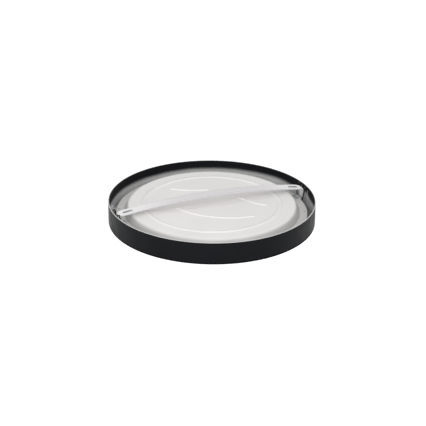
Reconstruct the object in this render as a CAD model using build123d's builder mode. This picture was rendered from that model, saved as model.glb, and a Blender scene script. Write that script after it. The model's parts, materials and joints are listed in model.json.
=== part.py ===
from build123d import *

import os
from math import cos, radians, sin, sqrt, tan

os.makedirs("parts", exist_ok=True)

# A slim round flush-mount ceiling light, lying on its face with its open back up.
# Millimetres. Origin: centre of the face. +Z: out of the back, towards the ceiling.
# X: along the mounting strap. -Y: the side where the supply terminal sits.

# ---------------------------------------------------------------- driving dimensions
RING_R = 150.0  # trim ring, outer radius
RING_H = 32.5  # trim ring, from the face to the rim
RING_T = 1.2  # trim ring, wall
LIP_W = 6.5  # trim ring, inward lip around the face

DIFFUSER_T = 2.0  # opal disc behind the lip
GASKET_T = 1.0  # foam ring on the disc's edge
GAP = 0.3  # room between neighbours that only sit beside each other

SHEET = 0.8  # back pan, sheet thickness
FLANGE_R = 138.4  # back pan, outer radius of its flange
FLANGE_Z = 14.0  # back pan, upper side of its flange
PLATEAU_Z = 25.4  # back pan, upper side of its raised middle
FOOT_R = 127.2  # back pan, where its sloping wall meets the flange
WALL_TILT = 65.0  # slope of that wall, from level
SHOULDER_R = 4.5  # bend between the plateau and the wall

BOARD_R = 131.3  # LED board
BOARD_T = 1.6
LED_RINGS = 4  # rings of LEDs, six more in each ring
LED_PITCH = 30.0  # radial distance from ring to ring
LED_SIZE = 3.0
LED_T = 0.7

STRAP_L = 287.0  # mounting strap, tip to tip
STRAP_W = 18.0
STRAP_T = 1.2
STRAP_TOP = 41.0  # top of its bow
STRAP_BOW = 11.3  # rise of the bow
SLOT_SPACING = 257.0  # ceiling-screw slots, centre to centre
SLOT_L = 14.5
SLOT_W = 5.0

WIRE_D = 1.7  # spring wire
PIN_R = 1.15  # pins through the spring coils
PIN_Y = 4.0  # each coil's distance from the strap's middle line
PIN_Z = 10.0
TERMINAL_Y = -135.0  # middle of the supply terminal
POLE_PITCH = 4.0
LEAD_R = 0.95  # insulated mains leads

# ---------------------------------------------------------------- levels and radii that follow
INNER_R = RING_R - RING_T
DIFFUSER_BACK = RING_T + DIFFUSER_T
FLANGE_UNDER = FLANGE_Z - SHEET
PLATEAU_UNDER = PLATEAU_Z - SHEET
BOARD_Z = FLANGE_UNDER - BOARD_T
WALL_IN = 1 / tan(radians(WALL_TILT))  # how far the wall leans in for each mm up
WALL_TOP_Z = PLATEAU_Z - SHOULDER_R * (1 - cos(radians(WALL_TILT)))
SHOULDER_C = FOOT_R - WALL_IN * (WALL_TOP_Z - FLANGE_Z) - SHOULDER_R * sin(radians(WALL_TILT))
FRAME_R = FLANGE_R - 0.4


def screw(head_r, head_h, shank_r, length):
    """A cross-head screw: head standing on Z = 0, shank below."""
    recess_l = 1.2 * head_r
    recess_w = 0.28 * head_r
    with BuildPart() as body:
        with BuildSketch():
            Circle(head_r)
        extrude(amount=head_h)
        fillet(body.edges().group_by(Axis.Z)[-1], radius=0.55 * head_h)
        with BuildSketch(Plane.XY.offset(head_h)):
            Rectangle(recess_l, recess_w)
            Rectangle(recess_w, recess_l)
        extrude(amount=-0.5 * head_h, mode=Mode.SUBTRACT)
        with BuildSketch():
            Circle(shank_r)
        extrude(amount=-length)
    return body.part


def wire(points, radii, wire_r):
    """A round wire along straight runs that tangent arcs join."""
    with BuildPart() as body:
        with BuildLine() as route:
            FilletPolyline(*points, radius=radii)
        with BuildSketch(Plane(origin=route.line @ 0, z_dir=route.line % 0)):
            Circle(wire_r)
        sweep(path=route.line)
    return body.part


# ================================================================ face: ring, disc, gasket
FACE_EDGE_R = 0.9
RIM_EDGE_R = 0.2

with BuildPart() as trim_ring:
    with BuildSketch(Plane.XZ) as section:
        with BuildLine():
            Polyline(
                (RING_R - LIP_W, 0),
                (RING_R, 0),
                (RING_R, RING_H),
                (INNER_R, RING_H),
                (INNER_R, RING_T),
                (RING_R - LIP_W, RING_T),
                close=True,
            )
        make_face()
        fillet(section.vertices().sort_by_distance((RING_R, 0))[0], radius=FACE_EDGE_R)
        fillet(section.vertices().group_by(Axis.Y)[-1], radius=RIM_EDGE_R)
    revolve(axis=Axis.Z)

# The disc's middle fills the lip's opening and stays a little behind the face.
with BuildPart() as diffuser:
    with BuildSketch(Plane.XZ):
        with BuildLine():
            Polyline(
                (0, GAP),
                (RING_R - LIP_W - GAP, GAP),
                (RING_R - LIP_W - GAP, RING_T),
                (INNER_R - 0.5, RING_T),
                (INNER_R - 0.5, DIFFUSER_BACK),
                (0, DIFFUSER_BACK),
                close=True,
            )
        make_face()
    revolve(axis=Axis.Z)

GASKET_IN_R = 139.5
GASKET_OUT_R = 147.8

with BuildPart() as edge_gasket:
    with BuildSketch(Plane.XY.offset(DIFFUSER_BACK)):
        Circle(GASKET_OUT_R)
        Circle(GASKET_IN_R, mode=Mode.SUBTRACT)
    extrude(amount=GASKET_T)

# ================================================================ white reflector frame
EARS = 6
EAR_START = 30.0
EAR_W = 14.0
EAR_T = 3.5
EAR_R = 147.5  # outer end of an ear
EAR_ROOT_R = FRAME_R - 2.0
EAR_Z = DIFFUSER_BACK + GASKET_T
LEDGE_R = 129.0  # inner radius of the ledge that carries the LED board
MOUTH_R = 135.2  # inner radius at the disc
CLIP_SCREW_R = 143.0  # radius of the ring of clip screws
FRAME_SCREWS = 8
FRAME_SCREW_R = 134.8
FRAME_SCREW_START = 22.5
FRAME_HEAD_Z = 8.0  # floor of the pockets for the frame screws' heads
FRAME_POCKET_R = 2.6
LEDGE_T = 1.0
SCREW_R = 1.4  # shanks of the self-tapping screws
POST_R = 1.5  # holes for self-tapping screws in plastic

# Screws that go down through the flange into the frame.
BRACKET_X = 133.0
BRACKET_SCREW_Y = 3.8
TERMINAL_SCREW_X = 13.0
EARTH_ANGLE = -104.2
EARTH_R = 134.9
earth_x = EARTH_R * cos(radians(EARTH_ANGLE))
earth_y = EARTH_R * sin(radians(EARTH_ANGLE))
bracket_holes = [
    (side * BRACKET_X, row * BRACKET_SCREW_Y) for side in (-1, 1) for row in (-1, 1)
]
flange_holes = bracket_holes + [(TERMINAL_SCREW_X, TERMINAL_Y), (earth_x, earth_y)]
FLANGE_SCREW_L = 7.0

with BuildPart() as reflector_frame:
    with BuildSketch(Plane.XZ):
        with BuildLine():
            Polyline(
                (FRAME_R, DIFFUSER_BACK),
                (FRAME_R, FLANGE_UNDER),
                (BOARD_R + GAP, FLANGE_UNDER),
                (BOARD_R + GAP, BOARD_Z),
                (LEDGE_R, BOARD_Z),
                (LEDGE_R, BOARD_Z - LEDGE_T),
                (MOUTH_R, DIFFUSER_BACK),
                close=True,
            )
        make_face()
    revolve(axis=Axis.Z)
    with BuildSketch(Plane.XY.offset(EAR_Z)):
        with PolarLocations((EAR_ROOT_R + EAR_R) / 2, EARS, start_angle=EAR_START):
            Rectangle(EAR_R - EAR_ROOT_R, EAR_W)
    extrude(amount=EAR_T)
    with BuildSketch(Plane.XY.offset(EAR_Z)):
        with PolarLocations(CLIP_SCREW_R, EARS, start_angle=EAR_START):
            Circle(POST_R)
    extrude(amount=EAR_T, mode=Mode.SUBTRACT)
    with BuildSketch(Plane.XY.offset(FRAME_HEAD_Z)):
        with PolarLocations(FRAME_SCREW_R, FRAME_SCREWS, start_angle=FRAME_SCREW_START):
            Circle(POST_R)
    extrude(amount=FLANGE_UNDER - FRAME_HEAD_Z, mode=Mode.SUBTRACT)
    with BuildSketch(Plane.XY.offset(DIFFUSER_BACK)):
        with PolarLocations(FRAME_SCREW_R, FRAME_SCREWS, start_angle=FRAME_SCREW_START):
            Circle(FRAME_POCKET_R)
    extrude(amount=FRAME_HEAD_Z - DIFFUSER_BACK, mode=Mode.SUBTRACT)
    with BuildSketch(Plane.XY.offset(FLANGE_UNDER)):
        with Locations(*flange_holes):
            Circle(POST_R)
    extrude(amount=-FLANGE_SCREW_L, mode=Mode.SUBTRACT)

frame_screw = screw(head_r=2.4, head_h=1.5, shank_r=SCREW_R, length=FLANGE_Z - FRAME_HEAD_Z)

with BuildPart() as frame_screws:
    with PolarLocations(FRAME_SCREW_R, FRAME_SCREWS, start_angle=FRAME_SCREW_START):
        with Locations(Location((0, 0, FRAME_HEAD_Z), (180, 0, 0))):
            add(frame_screw)

# ---------------------------------------------------------------- clips that hold the frame in the ring
CLIP_T = 0.8
CLIP_W = 12.0
CLIP_Z = EAR_Z + EAR_T
CLIP_IN_R = 139.6

with BuildPart() as ring_clips:
    with BuildSketch(Plane.XZ):
        with BuildLine():
            Polyline(
                (CLIP_IN_R, CLIP_Z),
                (CLIP_IN_R, CLIP_Z + CLIP_T),
                (INNER_R, CLIP_Z + CLIP_T),
                (INNER_R, EAR_Z),
                (INNER_R - CLIP_T, EAR_Z),
                (INNER_R - CLIP_T, CLIP_Z),
                close=True,
            )
        make_face()
    revolve(axis=Axis.Z)
    with BuildSketch():
        with PolarLocations((CLIP_IN_R + RING_R) / 2, EARS, start_angle=EAR_START):
            Rectangle(RING_R - CLIP_IN_R + 2, CLIP_W)
    extrude(amount=RING_H, mode=Mode.INTERSECT)
    with BuildSketch():
        with PolarLocations(CLIP_SCREW_R, EARS, start_angle=EAR_START):
            Circle(POST_R)
    extrude(amount=RING_H, mode=Mode.SUBTRACT)

clip_screw = screw(head_r=2.6, head_h=1.4, shank_r=SCREW_R, length=4.2)

with BuildPart() as ring_clip_screws:
    with PolarLocations(CLIP_SCREW_R, EARS, start_angle=EAR_START):
        with Locations((0, 0, CLIP_Z + CLIP_T)):
            add(clip_screw)

# ================================================================ LED board
STANDOFFS = 6
STANDOFF_R = 85.0
STANDOFF_START = 30.0
THREAD_R = 1.5
DRIVER_EARS = [(54.0, 12.0), (-54.0, -12.0)]
BOARD_HEAD_R = 2.8
BOARD_HEAD_H = 1.2
HEAD_ROOM_R = BOARD_HEAD_R + 0.4
SHEET_T = 0.3  # reflector film
LED_WINDOW_R = 2.4
STANDOFF_HEX_R = 3.0
THREAD_DEPTH = 8.0

with BuildPart() as led_board:
    with BuildSketch(Plane.XY.offset(BOARD_Z)):
        Circle(BOARD_R)
        with PolarLocations(STANDOFF_R, STANDOFFS, start_angle=STANDOFF_START):
            Circle(THREAD_R, mode=Mode.SUBTRACT)
        with Locations(*DRIVER_EARS):
            Circle(THREAD_R, mode=Mode.SUBTRACT)
    extrude(amount=BOARD_T)

with BuildPart() as led_chips:
    for ring in range(1, LED_RINGS + 1):
        with BuildSketch(Plane.XY.offset(BOARD_Z)):
            with PolarLocations(LED_PITCH * ring, 6 * ring):
                Rectangle(LED_SIZE, LED_SIZE)
        extrude(amount=-LED_T)

with BuildPart() as reflector_sheet:
    with BuildSketch(Plane.XY.offset(BOARD_Z)):
        Circle(LEDGE_R - 0.4)
        for ring in range(1, LED_RINGS + 1):
            with PolarLocations(LED_PITCH * ring, 6 * ring):
                Circle(LED_WINDOW_R, mode=Mode.SUBTRACT)
        with PolarLocations(STANDOFF_R, STANDOFFS, start_angle=STANDOFF_START):
            Circle(HEAD_ROOM_R, mode=Mode.SUBTRACT)
        with Locations(*DRIVER_EARS):
            Circle(HEAD_ROOM_R, mode=Mode.SUBTRACT)
    extrude(amount=-SHEET_T)

# Hexagonal pillars clinched into the pan carry the middle of the board.
with BuildPart() as standoffs:
    with BuildSketch(Plane.XY.offset(FLANGE_UNDER)):
        with PolarLocations(STANDOFF_R, STANDOFFS, start_angle=STANDOFF_START):
            RegularPolygon(STANDOFF_HEX_R, 6)
    extrude(amount=PLATEAU_UNDER - FLANGE_UNDER)
    with BuildSketch(Plane.XY.offset(FLANGE_UNDER)):
        with PolarLocations(STANDOFF_R, STANDOFFS, start_angle=STANDOFF_START):
            Circle(THREAD_R)
    extrude(amount=THREAD_DEPTH, mode=Mode.SUBTRACT)

board_screw = screw(BOARD_HEAD_R, BOARD_HEAD_H, THREAD_R - 0.05, length=7.0)

with BuildPart() as board_screws:
    with PolarLocations(STANDOFF_R, STANDOFFS, start_angle=STANDOFF_START):
        with Locations(Location((0, 0, BOARD_Z), (180, 0, 0))):
            add(board_screw)

# ================================================================ back pan
RIB_H = 1.0
RIB_W = 7.0
RIB_TAPER = 55
RIBS = [  # curved stiffening ribs on the plateau: start, middle and end of each
    ((-36, 70.5), (-16, 57.5), (11, 49)),
    ((45.5, 8), (57, -18), (69, -32)),
    ((-53, 0.5), (-19, -43.5), (37.5, -63)),
]
BEAD_R = 98.8  # round bead on the plateau
BEAD_W = 8.0
BEAD_H = 1.1
FOOT_FILLET = 1.5

# Lead grommet in the sloping wall, on the side of the supply terminal.
GROMMET_ANGLE = -106.0
GROMMET_TILT = 90 - WALL_TILT
GROMMET_Z = 17.8
GROMMET_HOLE_R = 2.5
GROMMET_NECK = 1.0
GROMMET_LIP_T = 1.3
GROMMET_IN_R = 3.2
GROMMET_OUT_R = 3.2
GROMMET_OUT_T = 1.4
grommet_radial = Vector(cos(radians(GROMMET_ANGLE)), sin(radians(GROMMET_ANGLE)), 0)
grommet_side = Vector(-sin(radians(GROMMET_ANGLE)), cos(radians(GROMMET_ANGLE)), 0)
grommet_out = grommet_radial * cos(radians(GROMMET_TILT)) + Vector(0, 0, sin(radians(GROMMET_TILT)))
grommet_seat_r = FOOT_R - WALL_IN * (GROMMET_Z - FLANGE_Z)
grommet_seat = grommet_radial * grommet_seat_r + Vector(0, 0, GROMMET_Z)
grommet_plane = Plane(origin=grommet_seat, x_dir=grommet_side, z_dir=grommet_out)


def pan_skin(depth):
    """One side of the pan's pressed sheet, from its middle to the foot of the wall."""
    level = PLATEAU_Z - depth
    foot = (FOOT_R - depth * tan(radians(WALL_TILT / 2)), FLANGE_Z - depth)
    middle = Line((0, level), (BEAD_R - BEAD_W / 2, level))
    bead = ThreePointArc(middle @ 1, (BEAD_R, level + BEAD_H), (BEAD_R + BEAD_W / 2, level))
    Line(bead @ 1, (SHOULDER_C, level))
    shoulder = CenterArc(
        (SHOULDER_C, PLATEAU_Z - SHOULDER_R), SHOULDER_R - depth, 90, -WALL_TILT
    )
    Line(shoulder @ 1, foot)
    return foot


with BuildPart() as back_pan:
    with BuildSketch(Plane.XZ) as section:
        with BuildLine():
            foot = pan_skin(0)
            foot_under = pan_skin(SHEET)
            Line((0, PLATEAU_UNDER), (0, PLATEAU_Z))
            Polyline(foot, (FLANGE_R, FLANGE_Z), (FLANGE_R, FLANGE_UNDER), foot_under)
        make_face()
        fillet(section.vertices().sort_by_distance(foot)[0], radius=FOOT_FILLET)
    revolve(axis=Axis.Z)
    for rib in RIBS:
        with BuildSketch(Plane.XY.offset(PLATEAU_Z)):
            with BuildLine() as rib_line:
                ThreePointArc(*rib)
            SlotArc(rib_line.edge(), RIB_W)
        extrude(amount=RIB_H, taper=RIB_TAPER)
    with BuildSketch(Plane.XY.offset(FLANGE_UNDER)):
        with Locations(*flange_holes):
            Circle(POST_R)
        with PolarLocations(FRAME_SCREW_R, FRAME_SCREWS, start_angle=FRAME_SCREW_START):
            Circle(POST_R)
    extrude(amount=SHEET, mode=Mode.SUBTRACT)
    with BuildSketch(grommet_plane.offset(-2 * GROMMET_NECK)):
        Circle(GROMMET_HOLE_R + 0.1)
    extrude(amount=4 * GROMMET_NECK, mode=Mode.SUBTRACT)

LEAD_OFFSET = 1.2  # each lead's distance from the grommet's axis
GROMMET_L = GROMMET_LIP_T + GROMMET_NECK + GROMMET_OUT_T

with BuildPart() as lead_grommet:
    with BuildSketch(grommet_plane.offset(-GROMMET_NECK - GROMMET_LIP_T)):
        Circle(GROMMET_IN_R)
    extrude(amount=GROMMET_LIP_T)
    with BuildSketch(grommet_plane.offset(-GROMMET_NECK)):
        Circle(GROMMET_HOLE_R)
    extrude(amount=GROMMET_NECK)
    with BuildSketch(grommet_plane):
        Circle(GROMMET_OUT_R)
    extrude(amount=GROMMET_OUT_T, taper=15)
    with BuildSketch(grommet_plane.offset(-GROMMET_L)):
        with Locations((-LEAD_OFFSET, 0), (LEAD_OFFSET, 0)):
            Circle(LEAD_R + 0.05)
    extrude(amount=2 * GROMMET_L, mode=Mode.SUBTRACT)

# ================================================================ driver
DRIVER_L = 96.0
DRIVER_W = 42.0
DRIVER_WALL = 1.2
TRAY_H = 8.0
COVER_H = 3.0
DRIVER_Z = FLANGE_UNDER
EAR_FOOT_T = 2.5
PORT_Z = 19.2  # leads through the end walls
PORT_Y = 1.8
PORT_R = LEAD_R + 0.15
PCB_T = 1.6
PCB_Z = DRIVER_Z + DRIVER_WALL + 0.8
PCB_TOP = PCB_Z + PCB_T

with BuildPart() as driver_case:
    with BuildSketch(Plane.XY.offset(DRIVER_Z)):
        RectangleRounded(DRIVER_L, DRIVER_W, 2.0)
    extrude(amount=TRAY_H)
    with BuildSketch(Plane.XY.offset(DRIVER_Z)):
        for ear_x, ear_y in DRIVER_EARS:
            with Locations((ear_x * 0.95, ear_y)):
                SlotOverall(17, 10)
    extrude(amount=EAR_FOOT_T)
    with BuildSketch(Plane.XY.offset(DRIVER_Z + DRIVER_WALL)):
        Rectangle(DRIVER_L - 2 * DRIVER_WALL, DRIVER_W - 2 * DRIVER_WALL)
    extrude(amount=TRAY_H, mode=Mode.SUBTRACT)
    with BuildSketch(Plane.XY.offset(DRIVER_Z + DRIVER_WALL)):
        with GridLocations(DRIVER_L - 10, DRIVER_W - 10, 2, 2):
            Rectangle(4, 4)
    extrude(amount=PCB_Z - DRIVER_Z - DRIVER_WALL)
    with BuildSketch(Plane.XY.offset(DRIVER_Z)):
        with Locations(*DRIVER_EARS):
            Circle(THREAD_R)
    extrude(amount=EAR_FOOT_T, mode=Mode.SUBTRACT)
    with BuildSketch(Plane.YZ.offset(-DRIVER_L)):
        with Locations((-PORT_Y, PORT_Z), (PORT_Y, PORT_Z)):
            Circle(PORT_R)
    extrude(amount=2 * DRIVER_L, mode=Mode.SUBTRACT)

with BuildPart() as driver_cover:
    with BuildSketch(Plane.XY.offset(DRIVER_Z + TRAY_H)):
        RectangleRounded(DRIVER_L, DRIVER_W, 2.0)
    extrude(amount=COVER_H)
    fillet(driver_cover.edges().group_by(Axis.Z)[-1], radius=0.8)
    with BuildSketch(Plane.XY.offset(DRIVER_Z + TRAY_H)):
        Rectangle(DRIVER_L - 2 * DRIVER_WALL, DRIVER_W - 2 * DRIVER_WALL)
    extrude(amount=COVER_H - DRIVER_WALL, mode=Mode.SUBTRACT)

with BuildPart() as driver_pcb:
    with BuildSketch(Plane.XY.offset(PCB_Z)):
        Rectangle(DRIVER_L - 2 * DRIVER_WALL - 1, DRIVER_W - 2 * DRIVER_WALL - 1)
    extrude(amount=PCB_T)

TRANSFORMER_X = 8.0

with BuildPart() as driver_transformer:
    with BuildSketch(Plane.XY.offset(PCB_TOP)):
        with Locations((TRANSFORMER_X, 0)):
            Rectangle(17, 20)
    extrude(amount=1.2)
    with BuildSketch(Plane.XZ.offset(-6)):
        with Locations((TRANSFORMER_X, PCB_TOP + 3.2)):
            RectangleRounded(10, 4.8, 1.2)
    extrude(amount=12)
    with BuildSketch(Plane.XY.offset(PCB_TOP + 1.2)):
        with Locations((TRANSFORMER_X, -7.5), (TRANSFORMER_X, 7.5)):
            Rectangle(15, 4)
    extrude(amount=4.4)

CAPACITOR_R = 2.7
CAPACITOR_L = 14.0
capacitor_spots = [(-36.0, -11.0), (-36.0, 11.0), (27.0, -10.0)]

with BuildPart() as driver_capacitors:
    for cap_x, cap_y in capacitor_spots:
        with BuildSketch(Plane.YZ.offset(cap_x)):
            with Locations((cap_y, PCB_TOP + CAPACITOR_R)):
                Circle(CAPACITOR_R)
        extrude(amount=CAPACITOR_L)

CHOKE_R = 4.6
CHOKE_TUBE_R = 2.1

with BuildPart() as driver_choke:
    with BuildSketch(Plane.XZ.offset(-10)):
        with Locations((-12 + CHOKE_R, PCB_TOP + CHOKE_TUBE_R)):
            Circle(CHOKE_TUBE_R)
    revolve(axis=Axis((-12, 10, 0), (0, 0, 1)))

with BuildPart() as driver_chips:
    with BuildSketch(Plane.XY.offset(PCB_TOP)):
        with Locations((-12, -11)):
            Rectangle(9, 6)
        with Locations((26, 10), (36, 10)):
            Rectangle(5, 6)
        with Locations((22, 3.5), (28, 3.5), (34, 3.5), (22, -3.5), (28, -3.5), (34, -3.5)):
            Rectangle(3.2, 1.6)
    extrude(amount=1.5)

with BuildPart() as driver_screws:
    with Locations(*[Location((x, y, BOARD_Z), (180, 0, 0)) for x, y in DRIVER_EARS]):
        add(screw(BOARD_HEAD_R, BOARD_HEAD_H, THREAD_R - 0.05, length=BOARD_T + EAR_FOOT_T))

# ---------------------------------------------------------------- from the driver to the LED board
CONNECTOR_X = 70.0
CONNECTOR_L = 8.0
CONNECTOR_Z = 15.6  # height of the leads in the connector
OUTPUT_R = 0.8
output_face = CONNECTOR_X - CONNECTOR_L / 2

with BuildPart() as led_connector:
    with BuildSketch(Plane.XY.offset(FLANGE_UNDER)):
        with Locations((CONNECTOR_X, 0)):
            Rectangle(CONNECTOR_L, 9.0)
    extrude(amount=4.2)
    with BuildSketch(Plane.YZ.offset(output_face)):
        with Locations((-PORT_Y, CONNECTOR_Z), (PORT_Y, CONNECTOR_Z)):
            Circle(OUTPUT_R + 0.1)
    extrude(amount=5, mode=Mode.SUBTRACT)

with BuildPart() as led_leads:
    for y in (-PORT_Y, PORT_Y):
        route = [
            (DRIVER_L / 2 - 5, y, PORT_Z),
            (54, y, PORT_Z),
            (61, y, CONNECTOR_Z),
            (output_face + 4, y, CONNECTOR_Z),
        ]
        add(wire(route, [8, 8], OUTPUT_R))

# ================================================================ supply terminal
BLOCK_L = 18.0
BLOCK_W = 12.6
BLOCK_H = 7.4
BLOCK_TOP = FLANGE_Z + BLOCK_H
BLOCK_FOOT_T = 1.6
POLE_W = 2.8
POLE_H = 3.0
POLE_Z = 17.6
pole_rows = [TERMINAL_Y + POLE_PITCH, TERMINAL_Y, TERMINAL_Y - POLE_PITCH]
BUTTON_L = 4.4
BUTTON_W = 2.4
BUTTON_H = 1.8
BUTTON_UP = 0.8  # how far a button stands out of the block at rest

with BuildPart() as terminal_block:
    with BuildSketch(Plane.XY.offset(FLANGE_Z)):
        with Locations((0, TERMINAL_Y)):
            RectangleRounded(BLOCK_L, BLOCK_W, 0.8)
    extrude(amount=BLOCK_H)
    fillet(terminal_block.edges().group_by(Axis.Z)[-1], radius=0.5)
    with BuildSketch(Plane.XY.offset(FLANGE_Z)):
        with Locations((TERMINAL_SCREW_X - 2, TERMINAL_Y)):
            SlotOverall(13, 8)
    extrude(amount=BLOCK_FOOT_T)
    with BuildSketch(Plane.XY.offset(FLANGE_Z)):
        with Locations((TERMINAL_SCREW_X, TERMINAL_Y)):
            Circle(POST_R)
    extrude(amount=BLOCK_FOOT_T, mode=Mode.SUBTRACT)
    with BuildSketch(Plane.YZ.offset(-BLOCK_L / 2)):
        with Locations(*[(row, POLE_Z) for row in pole_rows]):
            Rectangle(POLE_W, POLE_H)
    extrude(amount=BLOCK_L, mode=Mode.SUBTRACT)
    with BuildSketch(Plane.XY.offset(POLE_Z)):
        with Locations(*[(0, row) for row in pole_rows]):
            Rectangle(BUTTON_L + 2 * GAP, BUTTON_W + 2 * GAP)
    extrude(amount=BLOCK_H, mode=Mode.SUBTRACT)

CONTACT_L = 7.0

with BuildPart() as terminal_contacts:
    for row in pole_rows:
        with BuildSketch(Plane.YZ.offset(-CONTACT_L / 2)):
            with Locations((row, POLE_Z - 0.1)):
                Rectangle(POLE_W - 0.1, POLE_H - 0.2)
                Circle(LEAD_R + 0.05, mode=Mode.SUBTRACT)
        extrude(amount=CONTACT_L)


def release_button(row):
    """A push button that opens one pole's clamp."""
    with BuildPart() as button:
        with BuildSketch(Plane.XY.offset(BLOCK_TOP + BUTTON_UP)):
            with Locations((0, row)):
                RectangleRounded(BUTTON_L, BUTTON_W, 0.4)
        extrude(amount=-BUTTON_H)
        fillet(button.edges().group_by(Axis.Z)[-1], radius=0.3)
    return button


release_buttons = {
    name: release_button(row) for name, row in zip(("live", "neutral", "earth"), pole_rows)
}

with BuildPart() as terminal_screw:
    with Locations((TERMINAL_SCREW_X, TERMINAL_Y, FLANGE_Z + BLOCK_FOOT_T)):
        add(screw(head_r=2.6, head_h=1.6, shank_r=SCREW_R, length=7.5))

# ---------------------------------------------------------------- mains leads, driver to terminal
LEAD_IN_X = -DRIVER_L / 2 + 5
BOARD_RUN_Z = 14.7  # leads lying along the back of the LED board
LEAD_END_X = -BLOCK_L / 2 + 4
DRIVER_TURN = 7.0
BOARD_TURN = 16.0
INSIDE_TURN = 8.0
OUTSIDE_TURN = 3.5


def through_grommet(side, depth):
    """A point on a lead's line through the grommet, depth beyond the pan's outer skin."""
    return tuple(grommet_seat + grommet_side * side + grommet_out * depth)


live_route = [
    (LEAD_IN_X, -PORT_Y, PORT_Z),
    (-57, -PORT_Y, PORT_Z),
    (-63.5, -18, 15.4),
    (-57.5, -44, BOARD_RUN_Z),
    (-38, -84, BOARD_RUN_Z),
    through_grommet(LEAD_OFFSET, -5),
    through_grommet(LEAD_OFFSET, 6.5),
    (-24, pole_rows[0] - 1.4, 18.6),
    (-14, pole_rows[0], POLE_Z),
    (LEAD_END_X, pole_rows[0], POLE_Z),
]
neutral_route = [
    (LEAD_IN_X, PORT_Y, PORT_Z),
    (-59, PORT_Y, PORT_Z),
    (-68, -17, 15.4),
    (-61, -46, BOARD_RUN_Z),
    (-41.5, -86, BOARD_RUN_Z),
    through_grommet(-LEAD_OFFSET, -5),
    through_grommet(-LEAD_OFFSET, 8.5),
    (-24, pole_rows[1] - 2.2, 19.8),
    (-14, pole_rows[1], POLE_Z),
    (LEAD_END_X, pole_rows[1], POLE_Z),
]
route_radii = [DRIVER_TURN] + 3 * [BOARD_TURN] + [INSIDE_TURN, OUTSIDE_TURN, 12, 12]

with BuildPart() as mains_leads:
    add(wire(live_route, route_radii, LEAD_R))
    add(wire(neutral_route, route_radii, LEAD_R))

# ---------------------------------------------------------------- earth tag on the flange
TAG_T = 0.8
TAG_R = 3.6
BARREL_R = 1.6
BARREL_END = 9.0
earth_side = (-sin(radians(EARTH_ANGLE)), cos(radians(EARTH_ANGLE)), 0)
tag_plane = Plane(origin=(earth_x, earth_y, FLANGE_Z), x_dir=earth_side, z_dir=(0, 0, 1))
BARREL_Z = BARREL_R + 0.1

with BuildPart() as earth_tag:
    with BuildSketch(tag_plane):
        Circle(TAG_R)
        with Locations((TAG_R, 0)):
            Rectangle(TAG_R, 2.4)
        Circle(POST_R, mode=Mode.SUBTRACT)
    extrude(amount=TAG_T)
    with BuildSketch(Plane(origin=tag_plane.from_local_coords((4.6, 0, BARREL_Z)), z_dir=earth_side)):
        Circle(BARREL_R)
        Circle(LEAD_R + 0.05, mode=Mode.SUBTRACT)
    extrude(amount=BARREL_END - 4.6)

with BuildPart() as earth_screw:
    with Locations((earth_x, earth_y, FLANGE_Z + TAG_T)):
        add(screw(head_r=2.4, head_h=1.5, shank_r=SCREW_R, length=7.0))

earth_route = [
    (LEAD_END_X, pole_rows[2], POLE_Z),
    (-13, pole_rows[2], POLE_Z),
    tuple(tag_plane.from_local_coords((17, 0, BARREL_Z - 0.5))),
    tuple(tag_plane.from_local_coords((11, 0, BARREL_Z))),
    tuple(tag_plane.from_local_coords((6, 0, BARREL_Z))),
]

with BuildPart() as earth_lead:
    add(wire(earth_route, [4, 4, 4], LEAD_R))

# ================================================================ mounting strap
strap_half = STRAP_L / 2
bow_r = (strap_half**2 + STRAP_BOW**2) / (2 * STRAP_BOW)
bow_centre = STRAP_TOP - bow_r
TONGUE_TOP_W = 11.0
TONGUE_TIP_W = 6.0
TONGUE_Z = 14.0  # lower end of the bent-down tongues
NOSE_L = 7.0  # where the strap narrows to the tongue
BEND_IN_R = 0.9


def bow_z(x, radius):
    """Height of an arc of the bow at x."""
    return bow_centre + sqrt(radius**2 - x**2)


inner = strap_half - STRAP_T  # inner side of the tongues
end_z = bow_z(strap_half, bow_r)
under_z = bow_z(inner, bow_r - STRAP_T)
shoulder_z = end_z - 4.0  # where the tongues start to taper

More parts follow.
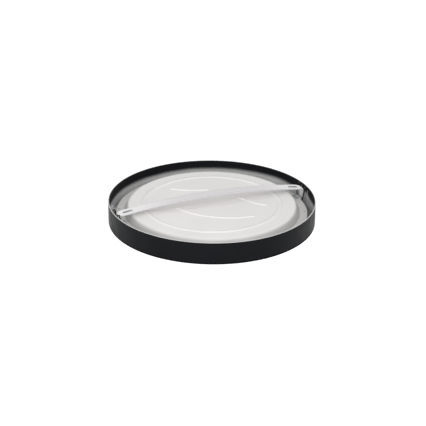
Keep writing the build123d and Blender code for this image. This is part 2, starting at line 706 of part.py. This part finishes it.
with BuildPart() as mounting_strap:
    with BuildSketch(Plane.XZ.offset(-STRAP_W / 2)):
        with BuildLine():
            upper = ThreePointArc((-strap_half, end_z), (0, STRAP_TOP), (strap_half, end_z))
            under = ThreePointArc((inner, under_z), (0, STRAP_TOP - STRAP_T), (-inner, under_z))
            Polyline(upper @ 1, (strap_half, TONGUE_Z), (inner, TONGUE_Z), under @ 0)
            Polyline(under @ 1, (-inner, TONGUE_Z), (-strap_half, TONGUE_Z), upper @ 0)
        make_face()
    extrude(amount=STRAP_W)
    # The bends: round outside, tighter inside.
    ends = mounting_strap.edges().filter_by(Axis.Y).group_by(SortBy.LENGTH)[-1]
    fillet(
        [e for e in ends if abs(e.center().X) > strap_half - 0.1 and e.center().Z > TONGUE_Z + 5],
        radius=BEND_IN_R + STRAP_T,
    )
    bends = mounting_strap.edges().filter_by(Axis.Y)
    fillet(
        [e for e in bends if abs(abs(e.center().X) - inner) < 0.1 and e.center().Z > TONGUE_Z + 5],
        radius=BEND_IN_R,
    )
    # Plan outline: full width, then a nose that narrows to the tongue.
    with BuildSketch() as outline:
        with BuildLine():
            half = [
                (strap_half - NOSE_L, STRAP_W / 2),
                (strap_half - 1.5, TONGUE_TOP_W / 2),
                (strap_half + 1, TONGUE_TOP_W / 2),
            ]
            right = half + [(x, -y) for x, y in reversed(half)]
            Polyline(*right, *[(-x, -y) for x, y in right], close=True)
        make_face()
        fillet(
            [v for v in outline.vertices() if abs(abs(v.Y) - STRAP_W / 2) < 0.01], radius=3.0
        )
    extrude(amount=STRAP_TOP + 1, mode=Mode.INTERSECT)
    # Front outline of the tongues: they taper to a rounded tip.
    with BuildSketch(Plane.YZ.offset(-strap_half - 1)) as front:
        with BuildLine():
            Polyline(
                (-STRAP_W / 2, STRAP_TOP),
                (-STRAP_W / 2, shoulder_z),
                (-TONGUE_TOP_W / 2, shoulder_z),
                (-TONGUE_TIP_W / 2, TONGUE_Z),
                (TONGUE_TIP_W / 2, TONGUE_Z),
                (TONGUE_TOP_W / 2, shoulder_z),
                (STRAP_W / 2, shoulder_z),
                (STRAP_W / 2, STRAP_TOP),
                close=True,
            )
        make_face()
        fillet(front.vertices().group_by(Axis.Y)[0], radius=1.8)
    extrude(amount=STRAP_L + 2, mode=Mode.INTERSECT)
    with BuildSketch():
        with Locations((-SLOT_SPACING / 2, 0), (SLOT_SPACING / 2, 0)):
            SlotOverall(SLOT_L, SLOT_W)
    extrude(amount=STRAP_TOP + 1, mode=Mode.SUBTRACT)

# ================================================================ spring legs and their brackets
BRACKET_T = 0.8
BRACKET_W = 13.0
BRACKET_IN_X = 128.9
LUG_X = 139.0  # inner side of the lug that carries the pins
LUG_T = 1.0
LUG_W = 15.0
LUG_LOW = 6.6
PIN_HEAD_R = 1.8
PIN_HEAD_T = 0.6
PIN_END_X = 143.5

coil_r = PIN_R + 0.05 + WIRE_D / 2  # wire's centre line in the coil
TURN_PITCH = 1.5
FIRST_TURN_X = 141.0
LEG_LEAN = 27.0  # degrees from upright, up to the knee
KNEE_Y = 10.6
HOOK_X = 143.4  # the leg's upper end, before it arches over to the ring
HOOK_LOW_Z = 29.0
ARCH_Z = 32.9
ARCH_X = 146.6
TIP_Z = 31.0
TAIL_Z = 6.0  # end of the coil's short flattened tail
TAIL_W = 1.2
TAIL_INSET = 0.1


def spring_bracket(side):
    """A bent steel bracket on the flange; its lug hangs down beyond the flange's edge."""
    with BuildPart() as bracket:
        with BuildSketch(Plane.XY.offset(FLANGE_Z)):
            with Locations((side * (BRACKET_IN_X + LUG_X) / 2, 0)):
                Rectangle(LUG_X - BRACKET_IN_X, BRACKET_W)
            with Locations(*[spot for spot in bracket_holes if spot[0] * side > 0]):
                Circle(POST_R, mode=Mode.SUBTRACT)
        extrude(amount=BRACKET_T)
        with BuildSketch(Plane.YZ.offset(side * LUG_X)):
            with Locations((0, (LUG_LOW + FLANGE_Z + BRACKET_T) / 2)):
                RectangleRounded(LUG_W, FLANGE_Z + BRACKET_T - LUG_LOW, 1.0)
            with Locations((-PIN_Y, PIN_Z), (PIN_Y, PIN_Z)):
                Circle(PIN_R, mode=Mode.SUBTRACT)
        extrude(amount=side * LUG_T)
    return bracket


spring_bracket_left = spring_bracket(-1)
spring_bracket_right = spring_bracket(1)

with BuildPart() as bracket_screws:
    with Locations(*[(x, y, FLANGE_Z + BRACKET_T) for x, y in bracket_holes]):
        add(screw(head_r=2.3, head_h=1.2, shank_r=SCREW_R, length=7.0))

with BuildPart() as spring_pins:
    for side in (-1, 1):
        with BuildSketch(Plane.YZ.offset(side * LUG_X)):
            with Locations((-PIN_Y, PIN_Z), (PIN_Y, PIN_Z)):
                Circle(PIN_R)
        extrude(amount=side * (PIN_END_X - LUG_X))
        with BuildSketch(Plane.YZ.offset(side * PIN_END_X)):
            with Locations((-PIN_Y, PIN_Z), (PIN_Y, PIN_Z)):
                Circle(PIN_HEAD_R)
        extrude(amount=side * PIN_HEAD_T)


# A torsion spring: two turns about its pin, a short flat tail, and the leg with its hooked end.
lean = radians(LEG_LEAN)
leg_start_y = PIN_Y + coil_r * cos(lean)
leg_start_z = PIN_Z - coil_r * sin(lean)
knee_z = leg_start_z + (KNEE_Y - leg_start_y) * cos(lean) / sin(lean)
second_turn_x = FIRST_TURN_X + TURN_PITCH
leg_route = [
    (-FIRST_TURN_X, leg_start_y, leg_start_z),
    (-FIRST_TURN_X, KNEE_Y, knee_z),
    (-HOOK_X, KNEE_Y, HOOK_LOW_Z),
    (-HOOK_X - 0.2, KNEE_Y, ARCH_Z),
    (-ARCH_X, KNEE_Y - 0.4, ARCH_Z),
    (-ARCH_X - 0.3, KNEE_Y - 0.6, TIP_Z),
]

with BuildPart() as spring_leg_left_rear:
    with BuildSketch(Plane.XZ.offset(-PIN_Y)):
        with Locations((-FIRST_TURN_X, PIN_Z + coil_r), (-second_turn_x, PIN_Z + coil_r)):
            Circle(WIRE_D / 2)
    revolve(axis=Axis((0, PIN_Y, PIN_Z), (1, 0, 0)))
    add(wire(leg_route, [3.0, 3.0, 1.4, 1.0], WIRE_D / 2))
    with BuildSketch(Plane.XY.offset(TAIL_Z)):
        with Locations((-second_turn_x - TAIL_INSET / 2, PIN_Y - coil_r - TAIL_INSET)):
            Rectangle(TAIL_W, TAIL_W)
    extrude(amount=PIN_Z - 3 * TAIL_INSET - TAIL_Z)


def mirrored(piece, plane):
    """The mirror image of a piece."""
    with BuildPart() as twin:
        mirror(piece.part, about=plane)
    return twin


spring_leg_left_front = mirrored(spring_leg_left_rear, Plane.XZ)
spring_leg_right_rear = mirrored(spring_leg_left_rear, Plane.YZ)
spring_leg_right_front = mirrored(spring_leg_left_front, Plane.YZ)

# ================================================================ one STEP file per piece
pieces = {
    "trim_ring": trim_ring,
    "diffuser": diffuser,
    "edge_gasket": edge_gasket,
    "reflector_frame": reflector_frame,
    "frame_screws": frame_screws,
    "ring_clips": ring_clips,
    "ring_clip_screws": ring_clip_screws,
    "led_board": led_board,
    "led_chips": led_chips,
    "reflector_sheet": reflector_sheet,
    "standoffs": standoffs,
    "board_screws": board_screws,
    "led_connector": led_connector,
    "led_leads": led_leads,
    "back_pan": back_pan,
    "lead_grommet": lead_grommet,
    "driver_case": driver_case,
    "driver_cover": driver_cover,
    "driver_pcb": driver_pcb,
    "driver_transformer": driver_transformer,
    "driver_capacitors": driver_capacitors,
    "driver_choke": driver_choke,
    "driver_chips": driver_chips,
    "driver_screws": driver_screws,
    "mains_leads": mains_leads,
    "earth_lead": earth_lead,
    "earth_tag": earth_tag,
    "earth_screw": earth_screw,
    "terminal_block": terminal_block,
    "terminal_contacts": terminal_contacts,
    "terminal_screw": terminal_screw,
    "release_button_live": release_buttons["live"],
    "release_button_neutral": release_buttons["neutral"],
    "release_button_earth": release_buttons["earth"],
    "mounting_strap": mounting_strap,
    "spring_bracket_left": spring_bracket_left,
    "spring_bracket_right": spring_bracket_right,
    "bracket_screws": bracket_screws,
    "spring_pins": spring_pins,
    "spring_leg_left_front": spring_leg_left_front,
    "spring_leg_left_rear": spring_leg_left_rear,
    "spring_leg_right_front": spring_leg_right_front,
    "spring_leg_right_rear": spring_leg_right_rear,
}

for name, piece in pieces.items():
    piece.part.label = name
    export_step(piece.part, f"parts/{name}.step")
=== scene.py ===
"""Looks of the slim round ceiling light that lies on its face, its open back towards the camera."""
import json
from math import cos, pi, radians, sin

import bmesh
import bpy
from mathutils import Matrix, Vector

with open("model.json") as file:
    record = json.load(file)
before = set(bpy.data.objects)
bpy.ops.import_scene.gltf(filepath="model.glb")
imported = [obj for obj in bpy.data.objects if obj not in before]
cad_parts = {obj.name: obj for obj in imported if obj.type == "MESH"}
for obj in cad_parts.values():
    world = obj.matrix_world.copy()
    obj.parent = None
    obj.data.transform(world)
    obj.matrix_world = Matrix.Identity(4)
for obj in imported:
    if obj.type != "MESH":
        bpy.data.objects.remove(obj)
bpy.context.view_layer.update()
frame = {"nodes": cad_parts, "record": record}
nodes = frame["nodes"]
scene = bpy.context.scene
MM = 0.001

# ------------------------------------------------------------------ camera, floor, light
CAMERA_AZIMUTH = -22.0  # degrees; the strap's right end lies farther away
CAMERA_ELEVATION = 24.11
CAMERA_ROLL = 0.64
CAMERA_DISTANCE = 1.863
LENS = 108.0
SENSOR = 36.0
NEAREST, FARTHEST = 0.05, 50.0  # what the camera can see, in metres from it
AIM_RIGHT = 1.69 * MM  # the point looked at, from the centre of the face
AIM_UP = 8.67 * MM
SURROUND = 0.56  # brightness of the white surround
FLOOR_HALF = 6.0  # half the floor's side
FLOOR_GREY = 0.7
FLOOR_GLOW = 0.72  # the floor is lit from below, like a product table
AIM_HEIGHT = 10 * MM  # the lights look at the middle of the object


def make_camera():
    """A long lens above the light, at its front left."""
    a, e = radians(CAMERA_AZIMUTH), radians(CAMERA_ELEVATION)
    back = Vector((sin(a) * cos(e), -cos(a) * cos(e), sin(e)))
    right = Vector((cos(a), sin(a), 0))
    up = back.cross(right)
    turn = Matrix((right, up, back)).transposed() @ Matrix.Rotation(radians(CAMERA_ROLL), 3, "Z")
    data = bpy.data.cameras.new("camera")
    data.lens = LENS
    data.sensor_width = SENSOR
    data.clip_start = NEAREST
    data.clip_end = FARTHEST
    camera = bpy.data.objects.new("camera", data)
    aim = right * AIM_RIGHT + up * AIM_UP
    camera.matrix_world = Matrix.Translation(aim + back * CAMERA_DISTANCE) @ turn.to_4x4()
    scene.collection.objects.link(camera)
    scene.camera = camera


def area_light(name, place, size, power):
    """A square soft box at place, turned to the object."""
    data = bpy.data.lights.new(name, "AREA")
    data.size = size
    data.energy = power
    lamp = bpy.data.objects.new(name, data)
    lamp.location = place
    away = Vector(place) - Vector((0, 0, AIM_HEIGHT))
    lamp.rotation_euler = away.to_track_quat("Z", "Y").to_euler()
    scene.collection.objects.link(lamp)


def make_stage():
    """A plain pale floor, a white surround and soft boxes."""
    bm = bmesh.new()
    bmesh.ops.create_grid(bm, x_segments=1, y_segments=1, size=FLOOR_HALF)
    mesh = bpy.data.meshes.new("floor")
    bm.to_mesh(mesh)
    bm.free()
    floor = bpy.data.objects.new("floor", mesh)
    scene.collection.objects.link(floor)
    material = bpy.data.materials.new("floor_white")
    material.use_nodes = True
    shader = material.node_tree.nodes["Principled BSDF"]
    shader.inputs["Base Color"].default_value = (FLOOR_GREY, FLOOR_GREY, FLOOR_GREY, 1)
    shader.inputs["Roughness"].default_value = 0.9
    shader.inputs["Specular IOR Level"].default_value = 0.0
    shader.inputs["Emission Color"].default_value = (1, 1, 1, 1)
    shader.inputs["Emission Strength"].default_value = FLOOR_GLOW
    mesh.materials.append(material)

    world = bpy.data.worlds.new("surround")
    world.use_nodes = True
    background = world.node_tree.nodes["Background"]
    background.inputs["Color"].default_value = (1, 1, 1, 1)
    background.inputs["Strength"].default_value = SURROUND
    scene.world = world
    area_light("key", (-0.6, -1.42, 0.95), size=1.9, power=26.0)
    area_light("top", (0.2, 0.3, 1.6), size=1.0, power=2.5)
    scene.view_settings.view_transform = "Standard"


make_camera()
make_stage()


# ------------------------------------------------------------------ material tools
def srgb(r, g, b):
    """A linear colour from screen values of 0 to 255."""
    return tuple(
        c / 12.92 / 255 if c <= 10.31 else ((c / 255 + 0.055) / 1.055) ** 2.4 for c in (r, g, b)
    ) + (1.0,)


class Surface:
    """A material under construction: short names for the node calls that all finishes share."""

    def __init__(self, name, roughness=0.5, metallic=0.0):
        self.material = bpy.data.materials.new(name)
        self.material.use_nodes = True
        self.tree = self.material.node_tree
        self.shader = self.tree.nodes["Principled BSDF"]
        self.set("Roughness", roughness)
        self.set("Metallic", metallic)
        self.place = self.tree.nodes.new("ShaderNodeTexCoord").outputs["Object"]

    def feed(self, socket, value):
        """Link value to the socket, or write it on the socket when it is a plain value."""
        if isinstance(value, bpy.types.NodeSocket):
            self.tree.links.new(value, socket)
        else:
            socket.default_value = value

    def set(self, name, value):
        """Feed one of the shader's own inputs."""
        self.feed(self.shader.inputs[name], value)

    def node(self, kind, **sockets):
        made = self.tree.nodes.new(kind)
        for name, value in sockets.items():
            self.feed(made.inputs[name], value)
        return made

    def math(self, operation, a, b=0.0):
        made = self.tree.nodes.new("ShaderNodeMath")
        made.operation = operation
        for socket, value in zip(made.inputs, (a, b)):
            self.feed(socket, value)
        return made.outputs[0]

    def add(self, a, b):
        return self.math("ADD", a, b)

    def minus(self, a, b):
        return self.math("SUBTRACT", a, b)

    def times(self, a, b):
        return self.math("MULTIPLY", a, b)

    def axis(self, name):
        """One coordinate of the shaded point."""
        return self.node("ShaderNodeSeparateXYZ", Vector=self.place).outputs[name]

    def off_centre(self, name):
        """Distance of the shaded point from the object's middle along one axis."""
        return self.math("ABSOLUTE", self.axis(name))

    def length(self, x, y):
        return self.math("SQRT", self.add(self.times(x, x), self.times(y, y)))

    def cylinder(self):
        """Radius and height of the shaded point about the light's axis."""
        return self.length(self.axis("X"), self.axis("Y")), self.axis("Z")

    def stretched(self, scale):
        """Object coordinates scaled per axis."""
        return self.node("ShaderNodeMapping", Vector=self.place, Scale=scale).outputs["Vector"]

    def noise(self, scale, detail=4.0, vector=None):
        """Soft noise of 0 to 1, with scale patches to the metre."""
        made = self.node("ShaderNodeTexNoise", Scale=scale, Detail=detail, Vector=vector or self.place)
        return made.outputs["Fac"]

    def drift(self, scale, width):
        """Noise about zero, as a length."""
        return self.times(self.minus(self.noise(scale, 2.0), 0.5), width)

    def ramp(self, value, low, high, to_low=0.0, to_high=1.0):
        """value from low..high onto to_low..to_high, smooth and clamped."""
        made = self.tree.nodes.new("ShaderNodeMapRange")
        made.interpolation_type = "SMOOTHSTEP"
        numbers = {"Value": value, "From Min": low, "From Max": high, "To Min": to_low, "To Max": to_high}
        for name, number in numbers.items():
            self.feed(made.inputs[name], number)
        return made.outputs["Result"]

    def mix(self, share, a, b):
        """Colour a where share is 0, colour b where it is 1."""
        made = self.tree.nodes.new("ShaderNodeMix")
        made.data_type = "RGBA"
        for name, value in {"Factor": share, "A": a, "B": b}.items():
            self.feed(made.inputs[name], value)
        return made.outputs["Result"]

    def vary_roughness(self, scale, low, high):
        self.set("Roughness", self.ramp(self.noise(scale), 0.3, 0.7, low, high))

    def bump(self, height, depth):
        made = self.node("ShaderNodeBump", Distance=depth, Height=height)
        self.set("Normal", made.outputs["Normal"])


# ------------------------------------------------------------------ plain finishes
def mottled(name, tone, other, roughness, patches=60.0, grain=900.0, depth=0.03 * MM, metallic=0.0):
    """A finish whose colour drifts between two near tones, with a fine grain of that depth."""
    s = Surface(name, roughness, metallic)
    s.set("Base Color", s.mix(s.ramp(s.noise(patches), 0.35, 0.65), srgb(*tone), srgb(*other)))
    s.vary_roughness(patches * 1.7, roughness - 0.06, roughness + 0.06)
    s.bump(s.noise(grain, 2.0), depth)
    return s.material


# material slot of the record: its finish
materials = {
    "opal": mottled(
        "opal_plastic", (240, 240, 238), (234, 235, 235), 0.32, patches=12.0, grain=400.0, depth=0.01 * MM
    ),
    "foam": mottled(
        "grey_foam", (120, 120, 120), (100, 100, 101), 0.9, patches=200.0, grain=2500.0, depth=0.2 * MM
    ),
    "zinc_screws": mottled(
        "screw_zinc", (196, 198, 202), (168, 170, 176), 0.32, patches=400.0, metallic=1.0
    ),
    "zinc": mottled("sheet_zinc", (205, 206, 207), (188, 190, 192), 0.45, patches=250.0, metallic=0.25),
    "brass": mottled("plain_brass", (214, 180, 110), (188, 150, 84), 0.3, patches=300.0, metallic=1.0),
    "tinned": mottled("tinned_copper", (206, 206, 204), (186, 186, 186), 0.3, patches=400.0, metallic=1.0),
    "copper": mottled("enamelled_copper", (190, 106, 62), (164, 84, 46), 0.35, patches=600.0, metallic=0.8),
    "spring_wire": mottled("blackened_wire", (22, 22, 22), (34, 33, 32), 0.34, patches=900.0, metallic=0.1),
    "white_plastic": mottled("white_moulding", (228, 228, 225), (220, 220, 218), 0.5),
    "driver_plastic": mottled("driver_moulding", (226, 226, 222), (216, 216, 213), 0.5),
    "terminal_white": mottled("terminal_moulding", (230, 230, 226), (220, 220, 217), 0.45),
    "board_white": mottled("board_resist", (232, 232, 228), (222, 223, 220), 0.4),
    "film_white": mottled("reflector_film", (240, 240, 240), (233, 233, 234), 0.6),
    "pcb_green": mottled("pcb_resist", (38, 96, 52), (30, 84, 46), 0.35),
    "led_yellow": mottled("led_phosphor", (236, 206, 110), (224, 188, 84), 0.35, patches=900.0),
    "lead_red": mottled("red_insulation", (178, 36, 30), (160, 28, 26), 0.45, patches=300.0),
    "lead_mains": mottled("brown_insulation", (98, 62, 44), (84, 52, 38), 0.45, patches=300.0),
    "lead_earth": mottled("green_yellow_insulation", (96, 150, 48), (190, 190, 52), 0.45, patches=120.0),
    "rubber_black": mottled("grommet_rubber", (34, 34, 35), (44, 44, 45), 0.7, patches=300.0),
    "transformer": mottled("ferrite_and_tape", (58, 56, 52), (44, 43, 42), 0.55, patches=300.0),
    "capacitor": mottled("capacitor_sleeve", (32, 34, 48), (42, 44, 58), 0.3, patches=300.0),
    "chip_black": mottled("chip_moulding", (36, 36, 37), (46, 46, 47), 0.5, patches=600.0),
    "button": mottled("orange_moulding", (222, 112, 40), (208, 98, 34), 0.4, patches=300.0),
}


# ------------------------------------------------------------------ ring
INNER_SIDE_R = 149.35 * MM  # within the thickness of the ring's wall
LIP_TOP = 1.25 * MM  # just above the lip around the face
BARE_BELOW = 14.0 * MM  # the inner side's paint thins out between these heights
PAINTED_ABOVE = 23.5 * MM
RIM_FROM, RIM_TO = 32.0 * MM, 32.3 * MM  # the cut edge at the top
HOOK_Y = 10.6 * MM  # the spring hooks' distance from the middle; a painted reflection of the springs and the strap's end lies there on the ring's inner wall


def ring_paint():
    """Satin black powder paint outside; inside it thins out down the wall to the bare sheet."""
    s = Surface("ring_paint")
    radius, height = s.cylinder()
    above_lip = s.math("GREATER_THAN", height, LIP_TOP)
    inside = s.times(s.math("LESS_THAN", radius, INNER_SIDE_R), above_lip)

    # the paint's lower border wanders and lies lower on the left; by the springs the light bare colour
    # reaches higher, a painted reflection of the springs and the strap's end
    to_left = s.ramp(s.axis("X"), -120 * MM, 60 * MM, 2.4 * MM, 0.0)
    across = s.off_centre("Y")
    reflection_by_springs = s.ramp(across, 6 * MM, 24 * MM, 5 * MM, 0.0)
    uneven = s.add(s.drift(11.0, 6.0 * MM), s.drift(500.0, 1.6 * MM))
    level = s.add(s.minus(s.add(height, to_left), reflection_by_springs), uneven)
    thin = s.math("POWER", s.ramp(level, BARE_BELOW, PAINTED_ABOVE, 1.0, 0.0), 1.5)

    # a light band at the hooks, high on the inner wall: painted reflection of the springs and the strap's
    # end, in the bare metal colour
    from_hook = s.math("ABSOLUTE", s.minus(across, HOOK_Y))
    painted_reflection_mark = s.ramp(from_hook, 0.5 * MM, 2.2 * MM, 0.5, 0.0)
    painted_reflection = s.times(painted_reflection_mark, s.ramp(height, 24 * MM, 30 * MM, 1.0, 0.0))
    rim = s.ramp(height, RIM_FROM, RIM_TO)
    # bare metal colour, together with the painted reflection by the springs
    bare = s.math("MAXIMUM", s.times(inside, s.math("MAXIMUM", thin, painted_reflection)), rim)

    outer_paint = s.mix(s.noise(40.0), srgb(11, 12, 15), srgb(17, 18, 21))
    # the inside's black is a touch lighter than the outside's: painted light on the lit inner side
    paint = s.mix(inside, outer_paint, srgb(22, 23, 26))
    brushed = s.noise(1.0, 3.0, s.stretched((30.0, 30.0, 2600.0)))
    metal = s.mix(brushed, srgb(206, 206, 207), srgb(230, 230, 229))
    s.set("Base Color", s.mix(bare, paint, metal))
    s.set("Metallic", s.times(bare, 0.35))
    s.set("Specular IOR Level", s.ramp(height, 0.8 * MM, 4.0 * MM, 0.0, 0.07))
    s.vary_roughness(60.0, 0.42, 0.5)
    s.bump(s.noise(1500.0, 3.0), 0.04 * MM)
    return s.material


# ------------------------------------------------------------------ back pan
WALL_TOP_R, WALL_FOOT_R = 119 * MM, 127 * MM  # the pan's sloping wall, down which the painted shade of the channel sets in
PRESS_PITCH = 3.2 * MM  # the press's faint rings on the plateau
PRESS_INNER = 90 * MM, 93 * MM  # they fade in, and out, between these radii
PRESS_OUTER = 112 * MM, 116 * MM


def pan_paint():
    """White paint on pressed sheet, with the faint rings that the press leaves, and painted shade greying
    the flange in the channel by the ring.
    """
    s = Surface("pan_paint", roughness=0.4)
    radius = s.cylinder()[0]
    plateau = s.mix(s.ramp(s.noise(9.0, 3.0), 0.35, 0.65), srgb(236, 234, 232), srgb(230, 229, 228))
    # the flange and the wall's foot are greyer: painted shade of the channel between pan and ring
    flange_painted_shade = s.mix(s.noise(25.0, 3.0), srgb(196, 195, 193), srgb(206, 205, 203))
    s.set("Base Color", s.mix(s.ramp(radius, WALL_TOP_R, WALL_FOOT_R), plateau, flange_painted_shade))
    rings = s.math("SINE", s.times(radius, 2 * pi / PRESS_PITCH))
    zone = s.times(s.ramp(radius, *PRESS_INNER), s.ramp(radius, *PRESS_OUTER, 1.0, 0.0))
    fine = s.times(s.noise(1100.0, 2.0), 0.3)
    s.bump(s.add(s.times(rings, zone), fine), 0.05 * MM)
    s.vary_roughness(30.0, 0.36, 0.44)
    return s.material


# ------------------------------------------------------------------ strap
STRAP_EDGE_Y = 8.93 * MM  # just inside the strap's cut edges
SHADE_PAINTED_WITHIN, HIGHLIGHT_PAINTED_BEYOND = 45 * MM, 135 * MM  # along the strap, from its middle: painted shade greys the middle, a painted highlight whitens the ends
SLOT_X = 128.5 * MM  # the ceiling-screw slots: middle, half their straight run, half width
SLOT_STRAIGHT = 4.75 * MM
SLOT_EDGE = 2.6 * MM


def strap_paint():
    """White paint on the strap, with painted shade greying its middle and a painted highlight whitening its
    ends, and greyer cut edges.
    """
    s = Surface("strap_paint", roughness=0.32)
    along, across = s.off_centre("X"), s.off_centre("Y")
    streak = s.ramp(s.noise(1.0, 4.0, s.stretched((6.0, 240.0, 30.0))), 0.4, 0.7)
    # painted shade on the bowed strap's middle and a painted highlight on its ends, the light that the bow
    # catches
    middle = s.mix(streak, srgb(222, 220, 221), srgb(216, 214, 216))
    painted_highlight_ends = s.mix(streak, srgb(240, 239, 239), srgb(233, 232, 233))
    paint = s.mix(s.ramp(along, SHADE_PAINTED_WITHIN, HIGHLIGHT_PAINTED_BEYOND), middle, painted_highlight_ends)
    paint = s.mix(s.math("GREATER_THAN", across, STRAP_EDGE_Y), paint, srgb(196, 196, 199))
    beyond = s.minus(s.math("ABSOLUTE", s.minus(along, SLOT_X)), SLOT_STRAIGHT)
    from_slot = s.length(s.math("MAXIMUM", beyond, 0.0), across)
    paint = s.mix(s.math("LESS_THAN", from_slot, SLOT_EDGE), paint, srgb(138, 139, 141))
    s.set("Base Color", paint)
    s.vary_roughness(50.0, 0.28, 0.38)
    s.bump(s.noise(900.0, 2.0), 0.03 * MM)
    return s.material


materials["ring_black"] = ring_paint()
materials["pan_white"] = pan_paint()
materials["strap_white"] = strap_paint()

for part in frame["record"]["subparts"]:
    mesh = nodes[part["node"]].data
    mesh.materials.clear()
    mesh.materials.append(materials[part["material_slot"]])
